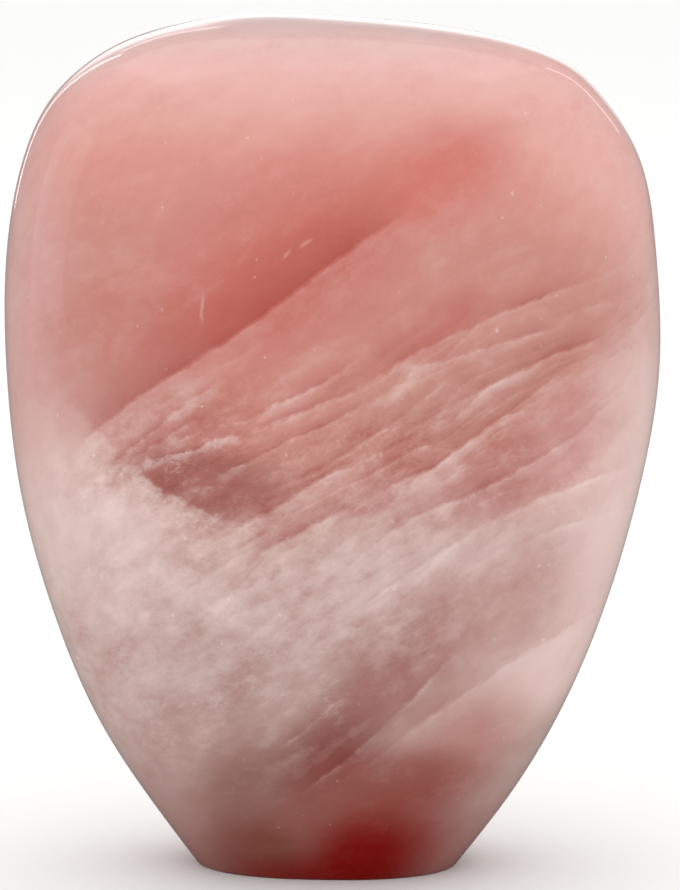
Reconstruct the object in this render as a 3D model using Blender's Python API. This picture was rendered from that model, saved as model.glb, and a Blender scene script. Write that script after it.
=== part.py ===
"""A polished rose quartz freeform: one solid stone, broad at the shoulders, tapering to a flat sawn foot.

Metres, +Z up. The origin is the centre of the sawn foot, +X is the stone's right as seen from its broad
front, and the front faces -Y.
"""

import math

import bmesh
import bpy
import numpy as np
from mathutils import Vector, noise

MM = 0.001

# The broad front outline from the summit down to the foot: left edge, right edge and height
FRONT_OUTLINE_MM = (
    (-6.3, -6.3, 98.2),
    (-15.6, 8.9, 97.3),
    (-22.4, 20.4, 95.4),
    (-27.2, 27.3, 92.7),
    (-30.9, 31.0, 89.3),
    (-34.4, 35.4, 82.5),
    (-36.5, 37.6, 72.0),
    (-36.8, 38.2, 58.1),
    (-35.4, 36.0, 44.1),
    (-31.8, 32.1, 30.2),
    (-26.1, 26.2, 16.3),
    (-21.8, 22.0, 9.3),
    (-15.1, 15.1, 0.0),
)
SUMMIT_HEIGHT = 98.2 * MM

# Depth as a share of the width, at the foot and above DEPTH_SETTLED
DEPTH_SHARE_FOOT = 0.73
DEPTH_SHARE_BODY = 0.62
DEPTH_SETTLED = 50 * MM

# Superellipse power of a level section: 2 is an ellipse, more is squarer. Sections narrower than
# SQUARED_FROM round off towards an ellipse, so that the summit has no ridges.
SECTION_POWER = 2.3
SQUARED_FROM = 12 * MM

# The foot's long axis is turned from the body's by this angle, and the turn is lost above TURN_LOST
FOOT_TURN = math.radians(5)
TURN_LOST = 40 * MM

# Slow waviness of a face ground by hand, faded out near the foot so that the rim stays true
WAVE_HEIGHT = 0.12 * MM
WAVE_LENGTH = 30 * MM
WAVE_FADE = 12 * MM

# The rim between the body and the sawn foot is broken by a small round
RIM_ROUND = 0.5 * MM
SHARP_EDGE = math.radians(30)

# Mesh rows: body, rim round and foot, and the number of columns round the stone
BODY_ROWS = 46
RIM_ROWS = 3
FOOT_ROWS = 4
COLUMNS = 84

MILKY_PINK = (0.60, 0.29, 0.26, 1.0)
POLISHED_ROUGHNESS = 0.12
QUARTZ_IOR = 1.544


def smooth_step(value):
    """0 below 0, 1 above 1, and a smooth rise between."""
    held = min(max(value, 0.0), 1.0)
    return held * held * (3 - 2 * held)


def natural_spline(knots, values, at):
    """The natural cubic spline through values at knots, read at each of the places in at."""
    gaps = np.diff(knots)
    slopes = np.diff(values, axis=0) / gaps[:, None]
    count = len(knots)
    system = np.eye(count)
    bends = np.zeros_like(values)
    for i in range(1, count - 1):
        system[i, i - 1 : i + 2] = gaps[i - 1], 2 * (gaps[i - 1] + gaps[i]), gaps[i]
        bends[i] = 6 * (slopes[i] - slopes[i - 1])
    bends = np.linalg.solve(system, bends)
    span = np.clip(np.searchsorted(knots, at, side="right") - 1, 0, count - 2)
    gap = gaps[span][:, None]
    after = (at - knots[span])[:, None]
    before = gap - after
    curved = (bends[span] * before**3 + bends[span + 1] * after**3) / (6 * gap)
    start = (values[span] / gap - bends[span] * gap / 6) * before
    end = (values[span + 1] / gap - bends[span + 1] * gap / 6) * after
    return curved + start + end


def body_rows(count):
    """(centre, half-width, height) of the body's level rows from summit to foot, evenly spaced along it."""
    left, right, height = (np.array(FRONT_OUTLINE_MM) * MM).T
    side = np.stack([(left + right) / 2, (right - left) / 2, height], axis=1)
    other_side = side[:0:-1] * (1, -1, 1)
    over_summit = np.vstack([other_side, side])
    steps = np.linalg.norm(np.diff(over_summit[:, 1:], axis=0), axis=1)
    knots = np.concatenate([[0.0], np.cumsum(steps)])
    summit = knots[len(other_side)]
    return natural_spline(knots, over_summit, np.linspace(summit, knots[-1], count))


def stone_rows():
    """The body's rows, then the rim's round, then the flat foot in to its centre."""
    body = body_rows(BODY_ROWS)
    centre, half_width, _ = body[-1]
    heading = body[-1] - body[-2]
    fall = math.atan2(-heading[2], -heading[1])
    # The round touches the falling wall at wall_end and the flat foot at its other end.
    reach = RIM_ROUND * math.tan(fall / 2)
    wall_end = (centre, half_width + reach * math.cos(fall), reach * math.sin(fall))
    kept = body[body[:, 2] > wall_end[2] + RIM_ROUND]
    rim = []
    for turn in np.linspace(fall, 0, RIM_ROWS + 2):
        out = half_width - reach + RIM_ROUND * math.sin(turn)
        rim.append((centre, out, RIM_ROUND * (1 - math.cos(turn))))
    foot = [(centre, rim[-1][1] * share, 0.0) for share in np.linspace(1, 0, FOOT_ROWS + 1)[1:]]
    return np.vstack([kept, rim, foot])


def stone_point(centre, half_width, height, around):
    """The point of the stone's surface on one level row, at this angle round it."""
    settled = smooth_step(height / DEPTH_SETTLED)
    depth_share = DEPTH_SHARE_FOOT + (DEPTH_SHARE_BODY - DEPTH_SHARE_FOOT) * settled
    across, along = math.cos(around), math.sin(around)
    power = 2 + (SECTION_POWER - 2) * smooth_step(half_width / SQUARED_FROM)
    reach = half_width * (abs(across) ** power + abs(along) ** power) ** (-1 / power)
    flat = Vector((reach * across, reach * depth_share * along))
    turn = FOOT_TURN * (1 - smooth_step(height / TURN_LOST))
    x, y = flat.x * math.cos(turn) + flat.y * math.sin(turn), flat.y * math.cos(turn) - flat.x * math.sin(turn)
    outward = Vector((x, y, height - SUMMIT_HEIGHT / 2)).normalized()
    wave_height = WAVE_HEIGHT * smooth_step(height / WAVE_FADE)
    point = Vector((centre + x, y, height))
    return point + outward * noise.noise(point / WAVE_LENGTH) * wave_height


def build_stone():
    """The whole stone, shaped from a sphere whose rows become the stone's, from summit to foot."""
    rows = stone_rows()
    last_row = len(rows) - 1
    shape = bmesh.new()
    bmesh.ops.create_uvsphere(shape, u_segments=COLUMNS, v_segments=last_row, radius=1.0)
    for vertex in shape.verts:
        down = math.acos(max(-1.0, min(1.0, vertex.co.z))) / math.pi
        around = math.atan2(vertex.co.y, vertex.co.x)
        vertex.co = stone_point(*rows[round(down * last_row)], around)
    bmesh.ops.recalc_face_normals(shape, faces=shape.faces)
    mesh = bpy.data.meshes.new("rose_quartz_stone")
    shape.to_mesh(mesh)
    shape.free()
    mesh.shade_smooth()
    mesh.set_sharp_from_angle(angle=SHARP_EDGE)
    return bpy.data.objects.new("rose_quartz_stone", mesh)


def polished_rose_quartz():
    """Milky pink quartz, tumbled and buffed to a gloss."""
    material = bpy.data.materials.new("polished_rose_quartz")
    material.use_nodes = True
    shader = material.node_tree.nodes["Principled BSDF"]
    shader.inputs["Base Color"].default_value = MILKY_PINK
    shader.inputs["Roughness"].default_value = POLISHED_ROUGHNESS
    shader.inputs["Metallic"].default_value = 0.0
    shader.inputs["IOR"].default_value = QUARTZ_IOR
    return material


def clear_scene():
    for obj in list(bpy.data.objects):
        bpy.data.objects.remove(obj)


def main():
    clear_scene()
    collection = bpy.data.collections.new("rose_quartz")
    bpy.context.scene.collection.children.link(collection)
    stone = build_stone()
    stone.data.materials.append(polished_rose_quartz())
    collection.objects.link(stone)


main()
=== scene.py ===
"""A polished rose quartz freeform on a pale studio floor, seen by the photograph's camera."""

import math

import bmesh
import bpy
import numpy as np
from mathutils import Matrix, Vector, noise


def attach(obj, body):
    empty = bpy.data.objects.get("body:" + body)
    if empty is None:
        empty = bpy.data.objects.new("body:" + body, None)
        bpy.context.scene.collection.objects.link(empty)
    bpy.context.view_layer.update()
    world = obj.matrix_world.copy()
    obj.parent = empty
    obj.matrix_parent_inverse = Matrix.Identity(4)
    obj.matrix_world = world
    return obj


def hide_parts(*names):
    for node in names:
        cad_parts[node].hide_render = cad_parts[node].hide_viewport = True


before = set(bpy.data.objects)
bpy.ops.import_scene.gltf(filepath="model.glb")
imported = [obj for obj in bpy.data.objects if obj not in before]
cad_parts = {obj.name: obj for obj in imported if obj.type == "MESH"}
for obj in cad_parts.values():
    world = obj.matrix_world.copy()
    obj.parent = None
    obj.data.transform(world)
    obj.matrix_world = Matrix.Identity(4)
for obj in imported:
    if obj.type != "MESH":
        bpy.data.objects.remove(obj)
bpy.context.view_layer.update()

MM = 0.001

# The stone's broad front outline from summit to foot: left edge, right edge and height, as in the CAD
FRONT_OUTLINE_MM = (
    (-6.3, -6.3, 98.2),
    (-15.6, 8.9, 97.3),
    (-22.4, 20.4, 95.4),
    (-27.2, 27.3, 92.7),
    (-30.9, 31.0, 89.3),
    (-34.4, 35.4, 82.5),
    (-36.5, 37.6, 72.0),
    (-36.8, 38.2, 58.1),
    (-35.4, 36.0, 44.1),
    (-31.8, 32.1, 30.2),
    (-26.1, 26.2, 16.3),
    (-21.8, 22.0, 9.3),
    (-15.1, 15.1, 0.0),
)
SUMMIT_HEIGHT = 98.2 * MM

# Depth as a share of the width, at the foot and above DEPTH_SETTLED
DEPTH_SHARE_FOOT = 0.73
DEPTH_SHARE_BODY = 0.62
DEPTH_SETTLED = 50 * MM

# Superellipse power of a level section: 2 is an ellipse, more is squarer. Sections narrower than
# SQUARED_FROM round off towards an ellipse.
SECTION_POWER = 2.3
SQUARED_FROM = 12 * MM

# The foot's long axis is turned from the body's by this angle, and the turn is lost above TURN_LOST
FOOT_TURN = math.radians(5)
TURN_LOST = 40 * MM

# Slow waviness of a face ground by hand, faded out near the foot
WAVE_HEIGHT = 0.12 * MM
WAVE_LENGTH = 30 * MM
WAVE_FADE = 12 * MM

# The rim between the body and the sawn foot is broken by a small round
RIM_ROUND = 0.5 * MM

# Rows down the body, round the rim and across the foot, and columns round the stone
BODY_ROWS = 200
RIM_ROWS = 6
FOOT_ROWS = 12
COLUMNS = 320


def linear(hex_colour):
    """An sRGB hex colour as linear red, green, blue and alpha."""
    shares = [int(hex_colour[i : i + 2], 16) / 255 for i in (1, 3, 5)]
    return [s / 12.92 if s <= 0.04045 else ((s + 0.055) / 1.055) ** 2.4 for s in shares] + [1.0]


def natural_spline(knots, values, at):
    """The natural cubic spline through values at knots, read at each of the places in at."""
    gaps = np.diff(knots)
    slopes = np.diff(values, axis=0) / gaps[:, None]
    count = len(knots)
    system = np.eye(count)
    bends = np.zeros_like(values)
    for i in range(1, count - 1):
        system[i, i - 1 : i + 2] = gaps[i - 1], 2 * (gaps[i - 1] + gaps[i]), gaps[i]
        bends[i] = 6 * (slopes[i] - slopes[i - 1])
    bends = np.linalg.solve(system, bends)
    span = np.clip(np.searchsorted(knots, at, side="right") - 1, 0, count - 2)
    gap = gaps[span][:, None]
    after = (at - knots[span])[:, None]
    before = gap - after
    curved = (bends[span] * before**3 + bends[span + 1] * after**3) / (6 * gap)
    start = (values[span] / gap - bends[span] * gap / 6) * before
    end = (values[span + 1] / gap - bends[span + 1] * gap / 6) * after
    return curved + start + end


def stone_rows():
    """(centre, half-width, height) of each level row: the body, the rim's round, then the flat foot."""
    left, right, height = (np.array(FRONT_OUTLINE_MM) * MM).T
    side = np.stack([(left + right) / 2, (right - left) / 2, height], axis=1)
    other_side = side[:0:-1] * (1, -1, 1)
    over_summit = np.vstack([other_side, side])
    steps = np.linalg.norm(np.diff(over_summit[:, 1:], axis=0), axis=1)
    knots = np.concatenate([[0.0], np.cumsum(steps)])
    body = natural_spline(knots, over_summit, np.linspace(knots[len(other_side)], knots[-1], BODY_ROWS))
    centre, half_width, _ = body[-1]
    heading = body[-1] - body[-2]
    fall = math.atan2(-heading[2], -heading[1])
    reach = RIM_ROUND * math.tan(fall / 2)
    kept = body[body[:, 2] > reach * math.sin(fall)]
    rim = []
    for turn in np.linspace(fall, 0, RIM_ROWS + 2):
        out = half_width - reach + RIM_ROUND * math.sin(turn)
        rim.append((centre, out, RIM_ROUND * (1 - math.cos(turn))))
    foot = [(centre, rim[-1][1] * share, 0.0) for share in np.linspace(1, 0, FOOT_ROWS + 1)[1:]]
    return np.vstack([kept, rim, foot])


def eased(values):
    """0 below 0, 1 above 1, and a smooth rise between."""
    held = np.clip(values, 0.0, 1.0)
    return held * held * (3 - 2 * held)


def skin_points(centre, half_width, height, around):
    """The points of the stone's surface on these level rows, at these angles round it."""
    depth_share = DEPTH_SHARE_FOOT + (DEPTH_SHARE_BODY - DEPTH_SHARE_FOOT) * eased(height / DEPTH_SETTLED)
    across, along = np.cos(around), np.sin(around)
    power = 2 + (SECTION_POWER - 2) * eased(half_width / SQUARED_FROM)
    reach = half_width * (np.abs(across) ** power + np.abs(along) ** power) ** (-1 / power)
    wide, deep = reach * across, reach * depth_share * along
    turn = FOOT_TURN * (1 - eased(height / TURN_LOST))
    x, y = wide * np.cos(turn) + deep * np.sin(turn), deep * np.cos(turn) - wide * np.sin(turn)
    outward = np.stack([x, y, height - SUMMIT_HEIGHT / 2], axis=1)
    outward /= np.linalg.norm(outward, axis=1)[:, None]
    points = np.stack([centre + x, y, height], axis=1)
    wave = np.array([noise.noise(Vector(p)) for p in points / WAVE_LENGTH])
    return points + outward * (wave * WAVE_HEIGHT * eased(height / WAVE_FADE))[:, None]


def build_stone():
    """The stone's fine skin, shaped from a sphere whose rows become the stone's."""
    rows = stone_rows()
    last_row = len(rows) - 1
    shape = bmesh.new()
    bmesh.ops.create_uvsphere(shape, u_segments=COLUMNS, v_segments=last_row, radius=1.0)
    bmesh.ops.recalc_face_normals(shape, faces=shape.faces)
    mesh = bpy.data.meshes.new("polished_stone")
    shape.to_mesh(mesh)
    shape.free()
    ball = np.zeros(len(mesh.vertices) * 3)
    mesh.vertices.foreach_get("co", ball)
    ball = ball.reshape(-1, 3)
    down = np.arccos(np.clip(ball[:, 2], -1, 1)) / math.pi
    centre, half_width, height = rows[np.rint(down * last_row).astype(int)].T
    skin = skin_points(centre, half_width, height, np.arctan2(ball[:, 1], ball[:, 0]))
    mesh.vertices.foreach_set("co", skin.ravel())
    mesh.update()
    mesh.shade_smooth()
    stone = bpy.data.objects.new("polished_stone", mesh)
    bpy.context.scene.collection.objects.link(stone)
    return stone


def add(tree, kind, feeds=None, stops=None, **settings):
    """One node, with its settings, each input given a value or another node's output, and a ramp's stops."""
    made = tree.nodes.new("ShaderNode" + kind)
    for name, value in settings.items():
        setattr(made, name, value)
    for name, value in (feeds or {}).items():
        if isinstance(value, bpy.types.Node):
            value = next(o for o in value.outputs if o.enabled)
        if isinstance(value, bpy.types.NodeSocket):
            tree.links.new(value, made.inputs[name])
        else:
            made.inputs[name].default_value = value
    if stops:
        elements = made.color_ramp.elements
        elements.remove(elements[-1])
        for place, tone in stops:
            stop = elements[0] if place == stops[0][0] else elements.new(place)
            stop.position = place
            stop.color = linear(tone) if isinstance(tone, str) else (tone,) * 4
    return made


# Places in the quartz are in mm from the middle of the sawn foot. A slant is a shape's rise towards +X, in
# degrees.
SLANTS = (0, 30, 45)

# The tones, from the quartz's clear pink body to the milk and the deep red at the foot, which is a painted
# glow. Some also paint reflections at the sides and light at the crown
TONES = {
    "blush": "#E8B3AB",
    "crown_blush": "#DAB2AD",
    "pearl": "#DABFBB",
    "coral": "#DC968B",
    "old_rose": "#CB8B81",
    "lilac": "#D5A7A2",
    "heart_red": "#B9564A",
    "warm_red": "#D07266",
    "brown_rose": "#AF6D65",
    "milk": "#CDB0AA",
    "grey_milk": "#BCA19A",
    "white_veil_and_reflection": "#E4C7C1",
    "mauve": "#A06C67",
    "deep_mauve": "#7E3D37",
    "umber": "#7A3F30",
    "dusk_rose": "#A2625A",
    "dusty_rose": "#C0928D",
    "dusty_coral": "#C6978C",
    "clay_pink": "#B67A70",
    "brick": "#8E473C",
    "rust_red": "#8C3A31",
    "ox_blood": "#800500",
}

# The body tone from the foot up to the summit, as shares of the stone's height. Its paling near the summit is
# painted light from above
BODY_TONES = (
    (0.00, "mauve"),
    (0.15, "grey_milk"),
    (0.40, "milk"),
    (0.52, "old_rose"),
    (0.74, "old_rose"),
    (0.84, "coral"),
    (0.93, "blush"),
    (0.99, "crown_blush"),
)

# Each soft zone of tone: its centre, radii and slant, how fully it covers what is there, and how much of it is
# core rather than fading rim where that isn't the usual USUAL_CORE
USUAL_CORE = 0.3
TONE_ZONES = (
    ("old_rose", (0, 0, 62), (36, 40, 20), 0, 0.5),
    # The lilac and white zones of the next two lines pale the left and right edges: painted reflections of the
    # studio
    ("lilac", (-39, -2, 67), (16.5, 20, 36), 0, 0.95),
    ("white_veil_and_reflection", (41, -2, 58), (11, 20, 46), 0, 0.7),
    # The blush and pearl zones of the next three lines pale the upper body and the crown: painted light from
    # above
    ("blush", (31, -6, 86), (15, 18, 17), 30, 0.8),
    ("pearl", (-26, 0, 96), (14, 24, 5), 30, 0.65),
    ("pearl", (14, 0, 99), (30, 24, 3.5), 0, 0.6),
    ("warm_red", (-5, -16, 72), (23, 20, 11), 30, 0.6),
    ("heart_red", (-6, -19, 70), (18, 16, 5.5), 30, 0.5),
    ("warm_red", (13, -19, 81), (9, 14, 5.5), 30, 0.65),
    ("heart_red", (12, -17, 64.5), (9, 14, 3.2), 30, 0.5),
    ("brown_rose", (-21, -14, 61), (12, 18, 10), 30, 0.3),
    ("brown_rose", (17, -15, 55), (24, 18, 9), 30, 0.25),
    ("brown_rose", (19, -16, 47.5), (15, 14, 4.5), 30, 0.6),
    ("brown_rose", (16, -15, 55), (12, 14, 5), 30, 0.4),
    ("brown_rose", (-15, -16, 53), (9, 14, 5), 30, 0.4),
    ("dusty_coral", (4, -16, 51), (38, 20, 9), 30, 0.45, 0.4),
    # Pale at the right side: painted reflection of the studio
    ("white_veil_and_reflection", (34, -10, 56), (7, 14, 9), 0, 0.6),
    ("milk", (-25, -6, 36), (18, 26, 24), 0, 0.7),
    ("grey_milk", (-13, -12, 25), (15, 18, 13), 30, 0.6),
    ("milk", (4, -18, 38), (16, 14, 8), 30, 0.45),
    ("dusk_rose", (-13, -18, 47), (10, 14, 5), 0, 0.85, 0.5),
    ("dusty_rose", (18, -14, 33), (17, 16, 8), 30, 0.75),
    # These two pale the right side: painted reflection of the studio
    ("white_veil_and_reflection", (34, -6, 42), (9, 20, 16), 0, 0.75),
    ("white_veil_and_reflection", (31, -6, 31), (9, 18, 12), 0, 0.5),
    ("lilac", (28, -14, 50), (7.5, 14, 8), 30, 0.6),
    ("mauve", (6, -16, 24), (14, 13, 6.5), 45, 0.85),
    ("white_veil_and_reflection", (26, -10, 25.5), (14, 14, 5.5), 30, 0.9),
    ("mauve", (16, -10, 16), (10, 12, 6), 45, 0.35),
    ("mauve", (-10, -14, 18), (13, 13, 7), 30, 0.3),
    # From here to the ox_blood zones the foot deepens to brick red: a painted glow of light passing through the
    # quartz to its base
    ("umber", (-7, -14, 12), (11, 13, 7), 30, 0.6),
    ("deep_mauve", (0.5, -14, 16.5), (8, 10, 5), 45, 0.8),
    ("clay_pink", (15, -12, 18), (9, 12, 7), 30, 0.6),
    ("brick", (8, -14, 13), (11.5, 12, 5), 0, 0.8, 0.4),
    ("umber", (-7, -10, 3.5), (8, 12, 5.5), 0, 0.85),
    ("brick", (1, -13, 8), (8, 12, 5), 0, 0.7),
    ("rust_red", (8, -11, 6), (9, 14, 7.5), 30, 0.8),
    ("ox_blood", (4.5, -11, 2.5), (8.5, 14, 6.5), 30, 1.0),
    ("ox_blood", (-1, -11, -0.5), (11, 14, 3.5), 0, 0.8),
    ("warm_red", (6, 18, 72), (26, 16, 13), 30, 0.8),
    ("milk", (-12, 16, 36), (18, 16, 16), 30, 0.8),
    ("mauve", (12, 14, 22), (12, 12, 7), 30, 0.8),
    ("brown_rose", (10, 20, 54), (20, 12, 6), 30, 0.6),
)


def along_slants(tree, place):
    """The place as measured along and across each of the slants."""
    slanted = {}
    for slant in SLANTS:
        feeds = {"Vector": place, "Rotation": (0, math.radians(-slant), 0)}
        slanted[slant] = add(tree, "Mapping", feeds, vector_type="TEXTURE") if slant else place
    return slanted


# A zone's fading rim runs past its radii by this share of what isn't core
RIM_SPREAD = 0.43


def zone_share(tree, slanted, centre, radii, slant, cover=1.0, core=USUAL_CORE, rim=None):
    """How far inside a soft zone a place lies: its cover in the core, 0 outside the rim."""
    turn = math.radians(slant)
    x, y, z = centre
    centre = Vector((x * math.cos(turn) + z * math.sin(turn), y, z * math.cos(turn) - x * math.sin(turn)))
    shrink = Vector([1 / radius for radius in radii])
    feeds = {0: slanted[slant], 1: shrink, 2: -centre * shrink}
    away = add(tree, "VectorMath", feeds, operation="MULTIPLY_ADD")
    away = add(tree, "VectorMath", {0: away}, operation="LENGTH").outputs["Value"]
    rim = rim or 1.0 + RIM_SPREAD * (1.0 - core)
    feeds = {"Value": away, "From Min": rim, "From Max": core, "To Max": cover}
    return add(tree, "MapRange", feeds, interpolation_type="SMOOTHSTEP")


def body_tone(tree, slanted):
    """The slow changes of tone, before the cracks and veils: the quartz's own, with painted reflections at the
    sides, painted light at the crown and a painted glow at the foot.
    """
    height = add(tree, "SeparateXYZ", {"Vector": slanted[0]})
    share = add(tree, "Math", {0: height.outputs["Z"], 1: SUMMIT_HEIGHT / MM}, operation="DIVIDE")
    stops = [(at, TONES[tone]) for at, tone in BODY_TONES]
    tone = add(tree, "ValToRGB", {"Fac": share}, stops=stops).outputs["Color"]
    for name, *zone in TONE_ZONES:
        inside = zone_share(tree, slanted, *zone)
        feeds = {"Factor": inside, "A": tone, "B": linear(TONES[name])}
        tone = add(tree, "Mix", feeds, data_type="RGBA").outputs["Result"]
    return tone


# The healed cracks lie as near-parallel sheets through the quartz. They rise 30 degrees towards +X, and dip a
# little towards the back. A sheet's level is measured along their common normal, its strike along the rise.
SHEET_NORMAL = Vector((-0.497, 0.12, 0.868))
SHEET_STRIKE = Vector((0.868, 0.0, 0.497))
SHEET_TILT = 30

# The dip lowers the levels on the front face by this much, and it is added back to them
FRONT_SHIFT_MM = 2.4

# Each great sheet: its level, where it starts and ends along the strike, how much it climbs and bows down
# over half its length, how much it deepens the tone above it and over what height, and how much it whitens
# the quartz below and how far
HEART_EDGE = (60.4, 2, 44, 2.0, 0.6, 0.44, 5.5, 0.08, 5.0)
GREAT_SHEETS = (
    (57.6, 6, 24, 1.0, 0.3, 0.04, 2.0, 0.10, 1.6),
    (55.2, 2, 19, 1.6, 0.3, 0.15, 2.0, 0.14, 1.6),
    (53.2, 0, 15, 1.2, 0.3, 0.18, 2.4, 0.12, 1.4),
    (51.6, 11, 32, -0.9, -0.8, 0.22, 1.6, 0.26, 1.4),
    (49.8, 8, 40, -1.8, -0.2, 0.28, 2.0, 0.34, 1.6),
    (48.4, 31, 58, -1.1, 0.4, 0.32, 3.0, 0.20, 1.4),
    (47.1, 15, 36, -0.4, 0.1, 0.26, 1.8, 0.28, 1.4),
    (45.6, 38, 54, -1.8, 0.0, 0.26, 1.8, 0.24, 1.4),
    (43.2, 19, 41, 0.7, -0.7, 0.24, 1.8, 0.28, 1.4),
    (41.3, 34, 57, -0.5, 0.2, 0.42, 3.2, 0.26, 3.0),
    (41.0, 23, 40, -0.9, -0.3, 0.22, 1.6, 0.24, 1.4),
    (41.6, 12, 27, 0.6, -0.2, 0.26, 2.2, 0.22, 1.8),
    (39.0, 40, 56, 0.4, 0.4, 0.14, 1.4, 0.14, 1.0),
    (37.4, 14, 36, -0.8, 0.4, 0.30, 2.6, 0.34, 3.0),
    (37.0, 31, 53, 1.4, -0.6, 0.26, 2.0, 0.22, 1.4),
    (35.2, -2, 14, 1.6, -0.5, 0.08, 2.4, 0.10, 2.4),
    (32.5, 20, 31, 0.4, 0.6, 0.14, 2.0, 0.18, 1.6),
    (31.0, 30, 54, 0.0, -1.6, 0.22, 3.6, 0.18, 1.4),
    (27.5, 18, 52, -0.5, 1.3, 0.12, 2.8, 0.34, 1.6),
    (23.0, 38, 51, -1.6, 0.8, 0.06, 2.2, 0.22, 1.8),
    (18.7, 4, 13, 0.8, 0.0, 0.16, 2.0, 0.16, 1.4),
    (13.8, 4, 25, 2.6, -0.6, 0.22, 1.8, 0.18, 1.2),
    (12.0, 12, 24, 1.2, 0.0, 0.16, 1.6, 0.12, 1.0),
    (13.1, 17, 42, 0.5, 1.1, 0.12, 3.4, 0.18, 2.4),
)

# The finer sheets between the great ones: their spacing, how long each runs, and how much they show
FINE_SHEETS = ((4.1, 22, 0.30), (1.9, 10, 0.22))

# Where the sheets lie close together: centre, radii and slant
BANDED_ZONE = ((6, -8, 49), (36, 40, 16), 30)

# A change of tone is held in a ramp as this much plus or minus the change, and below 0 it whitens
NO_CHANGE = 0.5


def great_sheets(tree, sheets, level, strike):
    """What the great sheets do to the tone: deeper just above each, whiter just below, palest at its edge."""
    total = None
    for at, start, end, climb, bow, deepen, height, whiten, depth in sheets:
        feeds = {"Value": strike, "From Min": start, "From Max": end, "To Min": -1, "To Max": 1}
        along = add(tree, "MapRange", feeds, clamp=False)
        bowed = add(tree, "Math", {0: along, 1: along}, operation="MULTIPLY")
        near = add(tree, "Math", {0: along, 1: -climb, 2: level}, operation="MULTIPLY_ADD")
        near = add(tree, "Math", {0: bowed, 1: bow, 2: near}, operation="MULTIPLY_ADD")
        near = add(tree, "MapRange", {"Value": near, "From Min": at - depth, "From Max": at + height})
        whole = depth + height
        edge = depth / whole
        # The white gathers to 0.2 mm below the sheet. The deep tone starts 0.25 mm above it and eases off.
        stops = (
            (0, NO_CHANGE),
            (0.4 * edge, NO_CHANGE - 0.3 * whiten),
            (0.7 * edge, NO_CHANGE - 0.6 * whiten),
            (edge - 0.2 / whole, NO_CHANGE - whiten),
            (edge + 0.25 / whole, NO_CHANGE + deepen),
            (edge + 0.4 * (1 - edge), NO_CHANGE + 0.5 * deepen),
            (1, NO_CHANGE),
        )
        step = add(tree, "ValToRGB", {"Fac": near}, stops=stops)
        # The sheet is whole over the middle of its length and gone a little past its ends.
        feeds = {"Value": bowed, "From Min": 1.5, "From Max": 0.35}
        window = add(tree, "MapRange", feeds, interpolation_type="SMOOTHSTEP")
        change = add(tree, "Math", {0: step.outputs["Alpha"], 1: NO_CHANGE}, operation="SUBTRACT")
        total = add(tree, "Math", {0: change, 1: window, 2: total or 0.0}, operation="MULTIPLY_ADD")
    return total


def counted(tree, place, sizes):
    """A place in mm, counted in cells of these three sizes."""
    return add(tree, "VectorMath", {0: place, 1: [1 / size for size in sizes]}, operation="MULTIPLY")


# Going up through one spacing of the finer sheets: deep just above one, then fading to white below the next
FINE_STEP = ((0, 0.6), (0.12, 0.95), (0.5, 0.55), (0.8, 0.38), (0.94, 0.08), (1, 0.4))
# How many spacings the finer sheets drift by
FINE_DRIFT = 3.0


def fine_sheets(tree, level, laid_flat):
    """The finer sheets: each spacing drifts and fades along the strike, so that no two run alike."""
    total = None
    for spacing, run, share in FINE_SHEETS:
        laid = counted(tree, laid_flat, (run, run, 2 * spacing))
        drift = add(tree, "TexNoise", {"Vector": laid, "Scale": 1.0, "Detail": 1}).outputs["Color"]
        drift = add(tree, "SeparateColor", {"Color": drift})
        count = add(tree, "Math", {0: level, 1: 1 / spacing}, operation="MULTIPLY")
        feeds = {0: drift.outputs["Red"], 1: FINE_DRIFT, 2: count}
        count = add(tree, "Math", feeds, operation="MULTIPLY_ADD")
        within = add(tree, "Math", {0: count}, operation="FRACT")
        step = add(tree, "ValToRGB", {"Fac": within}, stops=FINE_STEP)
        change = add(tree, "Math", {0: step.outputs["Alpha"], 1: NO_CHANGE}, operation="SUBTRACT")
        feeds = {"Value": drift.outputs["Green"], "From Min": 0.42, "From Max": 0.62, "To Max": share}
        seen = add(tree, "MapRange", feeds)
        total = add(tree, "Math", {0: change, 1: seen, 2: total or 0.0}, operation="MULTIPLY_ADD")
    return total


# A hairline's half-width, as a share of the crumple's whole range
HAIRLINE = 0.05


def crease(tree, folds):
    """A hairline along each fold of the crumple, 1 on the line and 0 beside it."""
    off = add(tree, "Math", {0: folds, 1: 0.5}, operation="SUBTRACT")
    off = add(tree, "Math", {0: off}, operation="ABSOLUTE")
    return add(tree, "MapRange", {"Value": off, "From Min": HAIRLINE, "From Max": 0.0})


# Lone hairline cracks whose paleness is a painted glint: centre, radii and slant
GLINTING_CRACKS = (
    ((-13.8, -18, 66.4), (0.28, 8, 2.2), 0),
    ((-2.4, -22, 73.6), (1.3, 8, 0.28), 30),
    ((-4.6, -22, 72.6), (1.0, 8, 0.25), 45),
)
LONE_CRACK_GLINT = 0.28

# Where the healed fractures crowd together: centre, radii and slant
FRACTURED_ZONE = ((-3, -8, 39), (38, 40, 21), 30)

# Where they have crumbled the quartz to a dusty cream beside the heart: centre, radii and slant
CRUMBLED_ZONE = ((-15, -14, 51), (21, 18, 8), 30)

# The clear heart's lower border, where the milk and its painted reflection begin: centre, radii and slant
CLEAR_HEART = ((4, 0, 72), (38, 200, 31.5), 0)


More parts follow.
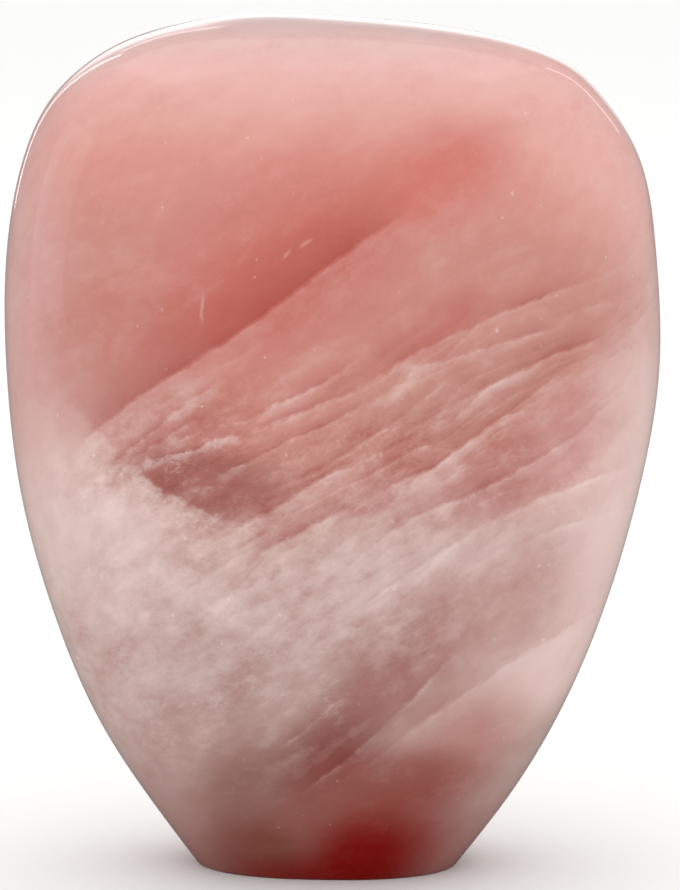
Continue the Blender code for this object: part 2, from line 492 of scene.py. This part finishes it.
def milk_and_reflection_border(tree, slanted):
    """Milk outside the clear heart's lower border, partly a painted reflection of the bright studio: crisp at
    the lower left, softer at the lower right.
    """
    outside = zone_share(tree, slanted, *CLEAR_HEART, core=0.985, rim=1.02)
    outside = add(tree, "Math", {0: 1.0, 1: outside}, operation="SUBTRACT")
    left = zone_share(tree, slanted, (-22, -8, 43), (17, 24, 14), 0, cover=0.42)
    right = zone_share(tree, slanted, (30, -8, 46), (12, 24, 12), 0, cover=0.24)
    share = add(tree, "Math", {0: left, 1: right}, operation="ADD")
    return add(tree, "Math", {0: outside, 1: share}, operation="MULTIPLY")


# The sheets bend slowly: over what length, and by how much from end to end
BEND_LENGTH_MM = 25
BEND_SWING_MM = 2.4

# The crumple that frays every edge: the size of its folds along the rise, from front to back and across the
# sheets, and how much it moves an edge from end to end, in sound quartz and in crumbled quartz
FOLD_MM = (3.6, 3.0, 2.2)
SOUND_FRAY_MM = 1.1
CRUMBLED_FRAY_MM = 2.5

# The clouds, along the same three ways
CLOUD_MM = (9, 8, 6)

# How strongly a great sheet shows, from its faint stretches to its strong ones, where it deepens the tone and
# where it whitens it, and the levels of the clouds between which it goes from faint to strong
DEEPENING_SEEN = (0.25, 1.15)
WHITENING_SEEN = (0.15, 1.1)
FAINT_CLOUD = 0.36
STRONG_CLOUD = 0.62

# How strongly the finer sheets show, outside the banded zone and in its core
FINE_SEEN = (0.1, 1.0)

# How much the crumple, the clouds and the pale and dark hairlines change the tone
CRUMPLE_DEPTH = 1.5
CLOUD_DEPTH = 1.3
PALE_HAIRLINE = -0.22
DARK_HAIRLINE = 0.07

# How strongly all four show, in clear quartz, in fractured quartz and in crumbled quartz
CLEAR_MOTTLE = 0.22
FRACTURED_MOTTLE = 0.85
CRUMBLED_MOTTLE = 1.15

# Bright specks are the peaks of a noise this coarse, and each is about 0.3 mm across
SPECK_NOISE_MM = 0.8
SPECK_PALE = -0.3

# What a full change of tone multiplies in where it deepens, and mixes in where it whitens
DEEPENING = "#C24C42"
WHITENING = "#F3DFD9"

# The painted red glow of the foot swamps the white up to the first height, and the white is whole from the
# second
RED_GLOW_TOP_MM = 5
WHITE_FROM_MM = 17
WHITE_IN_RED_GLOW = 0.15

# The lapped foot gives way to the polish between these two heights, on the round of the rim. Lapping adds this
# much roughness, and the polish varies between these two.
LAPPED_TO_MM = 0.1
POLISHED_FROM_MM = 0.45
LAPPED_ROUGHNESS = 0.3
POLISHED_ROUGHNESS = (0.05, 0.11)

# The swell that tumbling leaves in a polish, the lapped foot's grit and the height of both. The grit is really
# about 0.05 mm across, and it is drawn coarser than that so that it shows.
SWELL_MM = 5
GRIT_MM = 0.4
RELIEF_HEIGHT = 0.03 * MM

QUARTZ_IOR = 1.544


def pushed(tree, place, colour, swing):
    """The place pushed along each axis by a noise's colour, over this swing from end to end."""
    push = add(tree, "VectorMath", {0: colour, 1: (0.5, 0.5, 0.5)}, operation="SUBTRACT")
    push = add(tree, "VectorMath", {0: push, "Scale": swing}, operation="SCALE")
    return add(tree, "VectorMath", {0: place, 1: push}, operation="ADD")


def seen_stretches(tree, cloud, shares):
    """How strongly a great sheet shows from stretch to stretch, between these two shares."""
    feeds = {"Value": cloud, "From Min": FAINT_CLOUD, "From Max": STRONG_CLOUD}
    return add(tree, "MapRange", feeds | {"To Min": shares[0], "To Max": shares[1]})


def sheet_depth(tree, torn, laid_flat, slanted, clouds):
    """How much all the sheets deepen the tone, or whiten it below 0."""
    level = add(tree, "VectorMath", {0: torn, 1: SHEET_NORMAL}, operation="DOT_PRODUCT")
    level = add(tree, "Math", {0: level.outputs["Value"], 1: FRONT_SHIFT_MM}, operation="ADD")
    strike = add(tree, "VectorMath", {0: torn, 1: SHEET_STRIKE}, operation="DOT_PRODUCT").outputs["Value"]
    banded = zone_share(tree, slanted, *BANDED_ZONE)

    # Each great sheet deepens the tone in some stretches and whitens it in others. The heart's edge is steady.
    broken = great_sheets(tree, GREAT_SHEETS, level, strike)
    seen = seen_stretches(tree, clouds.outputs["Red"], DEEPENING_SEEN)
    darker = add(tree, "Math", {0: broken, 1: 0.0}, operation="MAXIMUM")
    darker = add(tree, "Math", {0: darker, 1: seen}, operation="MULTIPLY")
    seen = seen_stretches(tree, clouds.outputs["Green"], WHITENING_SEEN)
    whiter = add(tree, "Math", {0: broken, 1: 0.0}, operation="MINIMUM")
    depth = add(tree, "Math", {0: whiter, 1: seen, 2: darker}, operation="MULTIPLY_ADD")
    heart_edge = great_sheets(tree, (HEART_EDGE,), level, strike)
    depth = add(tree, "Math", {0: depth, 1: heart_edge}, operation="ADD")
    feeds = {"Value": banded, "To Min": FINE_SEEN[0], "To Max": FINE_SEEN[1]}
    close = add(tree, "MapRange", feeds)
    feeds = {0: fine_sheets(tree, level, laid_flat), 1: close, 2: depth}
    return add(tree, "Math", feeds, operation="MULTIPLY_ADD")


def with_mottle(tree, depth, slanted, folds, clouds):
    """The depth with the fractures' cottony clouds, crumpled folds, and a few pale and dark hairlines."""
    cloudy = add(tree, "Math", {0: clouds.outputs["Blue"], 1: 0.5}, operation="SUBTRACT")
    mottle = add(tree, "Math", {0: folds.outputs["Blue"], 1: 0.5}, operation="SUBTRACT")
    mottle = add(tree, "Math", {0: mottle, 1: CRUMPLE_DEPTH}, operation="MULTIPLY")
    mottle = add(tree, "Math", {0: cloudy, 1: CLOUD_DEPTH, 2: mottle}, operation="MULTIPLY_ADD")
    patchy = add(tree, "MapRange", {"Value": clouds.outputs["Blue"], "From Min": 0.5, "From Max": 0.62})
    pale = crease(tree, folds.outputs["Red"])
    pale = add(tree, "Math", {0: pale, 1: patchy}, operation="MULTIPLY")
    mottle = add(tree, "Math", {0: pale, 1: PALE_HAIRLINE, 2: mottle}, operation="MULTIPLY_ADD")
    dark = crease(tree, folds.outputs["Green"])
    mottle = add(tree, "Math", {0: dark, 1: DARK_HAIRLINE, 2: mottle}, operation="MULTIPLY_ADD")
    fractured = zone_share(tree, slanted, *FRACTURED_ZONE, core=0.4)
    feeds = {"Value": fractured, "To Min": CLEAR_MOTTLE, "To Max": FRACTURED_MOTTLE}
    crowd = add(tree, "MapRange", feeds)
    crumbled = zone_share(tree, slanted, *CRUMBLED_ZONE, cover=CRUMBLED_MOTTLE)
    crowd = add(tree, "Math", {0: crowd, 1: crumbled}, operation="MAXIMUM")
    return add(tree, "Math", {0: mottle, 1: crowd, 2: depth}, operation="MULTIPLY_ADD")


def with_bright_marks(tree, depth, place, slanted):
    """The depth with the milk's border and its painted reflection, the bright specks and the painted glints of
    the lone cracks.
    """
    # The milk's border is partly a painted reflection of the bright studio
    depth = add(tree, "Math", {0: depth, 1: milk_and_reflection_border(tree, slanted)}, operation="SUBTRACT")
    specks = add(tree, "TexNoise", {"Vector": place, "Scale": 1 / SPECK_NOISE_MM, "Detail": 0})
    specks = add(tree, "MapRange", {"Value": specks, "From Min": 0.83, "From Max": 0.9})
    depth = add(tree, "Math", {0: specks, 1: SPECK_PALE, 2: depth}, operation="MULTIPLY_ADD")
    # The lone cracks' paleness is a painted glint
    for crack in GLINTING_CRACKS:
        crack = zone_share(tree, slanted, *crack, cover=LONE_CRACK_GLINT)
        depth = add(tree, "Math", {0: depth, 1: crack}, operation="SUBTRACT")
    return depth


def polished_rose_quartz():
    """Rose quartz, tumbled and buffed: a clear gloss over milky pink, veiled along its healed cracks."""
    material = bpy.data.materials.new("polished_rose_quartz")
    material.use_nodes = True
    tree = material.node_tree
    shader = tree.nodes["Principled BSDF"]
    where = add(tree, "TexCoord")
    place = add(tree, "VectorMath", {0: where.outputs["Object"], 1: (1 / MM,) * 3}, operation="MULTIPLY")

    slow = add(tree, "TexNoise", {"Vector": place, "Scale": 1 / BEND_LENGTH_MM, "Detail": 0})
    bent = pushed(tree, place, slow.outputs["Color"], BEND_SWING_MM)
    feeds = {"Vector": bent, "Rotation": (0, math.radians(-SHEET_TILT), 0)}
    laid_flat = add(tree, "Mapping", feeds, vector_type="TEXTURE")
    feeds = {"Vector": counted(tree, laid_flat, FOLD_MM), "Scale": 1.0, "Detail": 4, "Roughness": 0.66}
    crumple = add(tree, "TexNoise", feeds).outputs["Color"]
    crumbled = zone_share(tree, {SHEET_TILT: laid_flat}, *CRUMBLED_ZONE)
    feeds = {"Value": crumbled, "To Min": SOUND_FRAY_MM, "To Max": CRUMBLED_FRAY_MM}
    torn = pushed(tree, bent, crumple, add(tree, "MapRange", feeds))
    slanted = along_slants(tree, torn)
    folds = add(tree, "SeparateColor", {"Color": crumple})
    feeds = {"Vector": counted(tree, laid_flat, CLOUD_MM), "Scale": 1.0, "Detail": 2}
    clouds = add(tree, "TexNoise", feeds).outputs["Color"]
    clouds = add(tree, "SeparateColor", {"Color": clouds})

    depth = sheet_depth(tree, torn, laid_flat, slanted, clouds)
    depth = with_mottle(tree, depth, slanted, folds, clouds)
    depth = with_bright_marks(tree, depth, place, slanted)

    tone = body_tone(tree, slanted)
    deeper = add(tree, "Math", {0: depth, 1: 0.0}, operation="MAXIMUM")
    feeds = {"Factor": deeper, "A": tone, "B": linear(DEEPENING)}
    tone = add(tree, "Mix", feeds, data_type="RGBA", blend_type="MULTIPLY").outputs["Result"]
    paler = add(tree, "Math", {0: depth, 1: -1.0}, operation="MULTIPLY")
    paler = add(tree, "Math", {0: paler, 1: 0.0}, operation="MAXIMUM")
    height = add(tree, "SeparateXYZ", {"Vector": place}).outputs["Z"]
    # Up the foot the white gives way to the foot's painted red glow
    feeds = {"Value": height, "From Min": RED_GLOW_TOP_MM, "From Max": WHITE_FROM_MM, "To Min": WHITE_IN_RED_GLOW}
    paler = add(tree, "Math", {0: paler, 1: add(tree, "MapRange", feeds)}, operation="MULTIPLY")
    feeds = {"Factor": paler, "A": tone, "B": linear(WHITENING)}
    tone = add(tree, "Mix", feeds, data_type="RGBA").outputs["Result"]
    tree.links.new(tone, shader.inputs["Base Color"])

    # The buffed faces mirror the studio a little softly, and unevenly, as a tumbled polish does. The sawn foot
    # is lapped and not buffed, so it looks dull and fine-grained.
    feeds = {"Value": height, "From Min": POLISHED_FROM_MM, "From Max": LAPPED_TO_MM}
    lapped = add(tree, "MapRange", feeds)
    smooth, worn = POLISHED_ROUGHNESS
    feeds = {"Value": clouds.outputs["Blue"], "From Min": 0.3, "From Max": 0.7}
    polish = add(tree, "MapRange", feeds | {"To Min": smooth, "To Max": worn})
    rough = add(tree, "Math", {0: lapped, 1: LAPPED_ROUGHNESS, 2: polish}, operation="MULTIPLY_ADD")
    tree.links.new(rough.outputs["Value"], shader.inputs["Roughness"])
    swell = add(tree, "TexNoise", {"Vector": place, "Scale": 1 / SWELL_MM, "Detail": 0})
    grit = add(tree, "TexNoise", {"Vector": place, "Scale": 1 / GRIT_MM, "Detail": 0})
    grit = add(tree, "Math", {0: grit, 1: lapped}, operation="MULTIPLY")
    relief = add(tree, "Math", {0: grit, 1: 0.5, 2: swell}, operation="MULTIPLY_ADD")
    bump = add(tree, "Bump", {"Height": relief, "Strength": 1.0, "Distance": RELIEF_HEIGHT})
    tree.links.new(bump.outputs["Normal"], shader.inputs["Normal"])

    shader.inputs["IOR"].default_value = QUARTZ_IOR
    return material


# The stone's polish mirrors paper in this darker tone, so that its lower sides don't wash out
PAPER = "#FDFDFC"
PAPER_IN_POLISH = "#7A7573"


def build_floor():
    """A wide floor of matt white paper, which runs past the horizon and gives the eye no shine and no edge."""
    mesh = bpy.data.meshes.new("studio_floor")
    shape = bmesh.new()
    bmesh.ops.create_circle(shape, cap_ends=True, segments=96, radius=30)
    shape.to_mesh(mesh)
    shape.free()
    floor = bpy.data.objects.new("studio_floor", mesh)
    bpy.context.scene.collection.objects.link(floor)
    material = bpy.data.materials.new("matt_white_paper")
    material.use_nodes = True
    tree = material.node_tree
    shader = tree.nodes["Principled BSDF"]
    rays = add(tree, "LightPath")
    feeds = {"Factor": rays.outputs["Is Glossy Ray"], "A": linear(PAPER), "B": linear(PAPER_IN_POLISH)}
    paper = add(tree, "Mix", feeds, data_type="RGBA")
    tree.links.new(paper.outputs["Result"], shader.inputs["Base Color"])
    shader.inputs["Roughness"].default_value = 0.8
    shader.inputs["Specular IOR Level"].default_value = 0.2
    mesh.materials.append(material)


def softbox(name, width, height, place, aim, watts, lights_body=True):
    """A soft panel light of this size, at place and facing aim, in metres; it may show in the polish alone."""
    light = bpy.data.lights.new(name, "AREA")
    light.shape = "RECTANGLE"
    light.size, light.size_y = width, height
    light.energy = watts
    panel = bpy.data.objects.new(name, light)
    panel.location = place
    panel.rotation_euler = (Vector(aim) - Vector(place)).to_track_quat("-Z", "Y").to_euler()
    panel.visible_camera = False
    panel.visible_diffuse = lights_body
    bpy.context.scene.collection.objects.link(panel)


# How bright the tent looks to the stone's body, and to its polish from low on the walls to overhead
TENT_ON_BODY = 1.02
WALLS_IN_POLISH = (0.33, 0.6)

# A white banner behind the stone, seen only in the polish of its crown: its brightness from its lower edge to
# its upper one, by the sine of the height above level, and how far it reaches to the sides of its middle
BANNER = ((0.02, 0.0), (0.08, 1.0), (0.24, 1.0), (0.32, 0.3), (0.45, 0.0))
BANNER_STRENGTH = 1.4
BANNER_MIDDLE = -0.04
BANNER_WHOLE = 0.16
BANNER_GONE = 0.36


def banner_strength(tree, direction):
    """How bright the banner is in each direction, 0 away from it."""
    # Its lower edge is raised on the left, which leaves the crown its thin grey outline there.
    feeds = {"Value": direction.outputs["X"], "From Min": -0.1, "From Max": -0.03, "To Min": -0.12, "To Max": 0}
    raised = add(tree, "MapRange", feeds)
    raised = add(tree, "Math", {0: direction.outputs["Z"], 1: raised}, operation="ADD")
    banner = add(tree, "ValToRGB", {"Fac": raised}, stops=BANNER)
    beside = add(tree, "Math", {0: direction.outputs["X"], 1: -BANNER_MIDDLE}, operation="ADD")
    beside = add(tree, "Math", {0: beside}, operation="ABSOLUTE")
    feeds = {"Value": beside, "From Min": BANNER_GONE, "From Max": BANNER_WHOLE}
    beside = add(tree, "MapRange", feeds, interpolation_type="SMOOTHSTEP")
    behind = add(tree, "MapRange", {"Value": direction.outputs["Y"], "From Min": 0.3, "From Max": 0.7})
    banner = add(tree, "Math", {0: banner.outputs["Alpha"], 1: beside}, operation="MULTIPLY")
    return add(tree, "Math", {0: banner, 1: behind}, operation="MULTIPLY")


def light_studio():
    """Even light from all round, as in a photographer's tent whose walls show only faintly in the polish."""
    world = bpy.data.worlds.new("studio_tent")
    bpy.context.scene.world = world
    world.use_nodes = True
    tree = world.node_tree
    where = add(tree, "TexCoord")
    direction = add(tree, "SeparateXYZ", {"Vector": where.outputs["Generated"]})
    low, high = WALLS_IN_POLISH
    feeds = {"Value": direction.outputs["Z"], "From Min": 0.3, "From Max": 0.95, "To Min": low, "To Max": high}
    walls = add(tree, "MapRange", feeds)
    feeds = {0: banner_strength(tree, direction), 1: BANNER_STRENGTH, 2: walls}
    mirrored = add(tree, "Math", feeds, operation="MULTIPLY_ADD")
    rays = add(tree, "LightPath")
    feeds = {"Value": rays.outputs["Is Glossy Ray"], "To Min": TENT_ON_BODY, "To Max": mirrored}
    seen = add(tree, "MapRange", feeds)
    feeds = {"Value": rays.outputs["Is Camera Ray"], "To Min": seen, "To Max": 1.0}
    seen = add(tree, "MapRange", feeds)
    tree.links.new(seen.outputs["Result"], tree.nodes["Background"].inputs["Strength"])
    tree.nodes["Background"].inputs["Color"].default_value = (1, 1, 1, 1)
    softbox("overhead", 1.6, 1.2, (0, 0.3, 1.3), (0, 0, 0.05), 2.6)
    softbox("left_side", 0.5, 0.7, (-0.9, 0.05, 0.2), (0, 0, 0.06), 0.5, lights_body=False)
    softbox("left_strip", 0.02, 0.6, (-0.42, 0.85, 0.36), (0, 0, 0.08), 0.22, lights_body=False)
    softbox("crown_strip", 0.25, 0.03, (-0.205, 0.794, 0.55), (0, 0, 0.09), 0.04, lights_body=False)
    softbox("right_strip", 0.02, 0.4, (0.5, 0.7, 0.5), (0, 0, 0.08), 0.06, lights_body=False)


# The camera stands this far from the stone, this far above level, and looks at this place on its axis
CAMERA_DISTANCE = 0.5
CAMERA_ELEVATION = math.radians(7)
CAMERA_AIM = Vector((1.5 * MM, 0, 48.7 * MM))

# The frame's height at the aim: 890 pixels of the photo, each 0.1153 mm there
FRAME_HEIGHT_AT_AIM = 890 * 0.1153 * MM
SENSOR = 36.0


def place_camera():
    camera = bpy.data.cameras.new("camera")
    camera.sensor_width = SENSOR
    camera.lens = SENSOR * CAMERA_DISTANCE / FRAME_HEIGHT_AT_AIM
    camera.clip_start = 0.01
    camera.clip_end = 100
    stand = bpy.data.objects.new("camera", camera)
    back = Vector((0, -math.cos(CAMERA_ELEVATION), math.sin(CAMERA_ELEVATION)))
    stand.location = CAMERA_AIM + back * CAMERA_DISTANCE
    stand.rotation_euler = (-back).to_track_quat("-Z", "Y").to_euler()
    bpy.context.scene.collection.objects.link(stand)
    bpy.context.scene.camera = stand


stone = build_stone()
stone.data.materials.append(polished_rose_quartz())
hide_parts("rose_quartz_stone")
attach(stone, "root")
build_floor()
light_studio()
place_camera()
bpy.context.scene.view_settings.view_transform = "Standard"
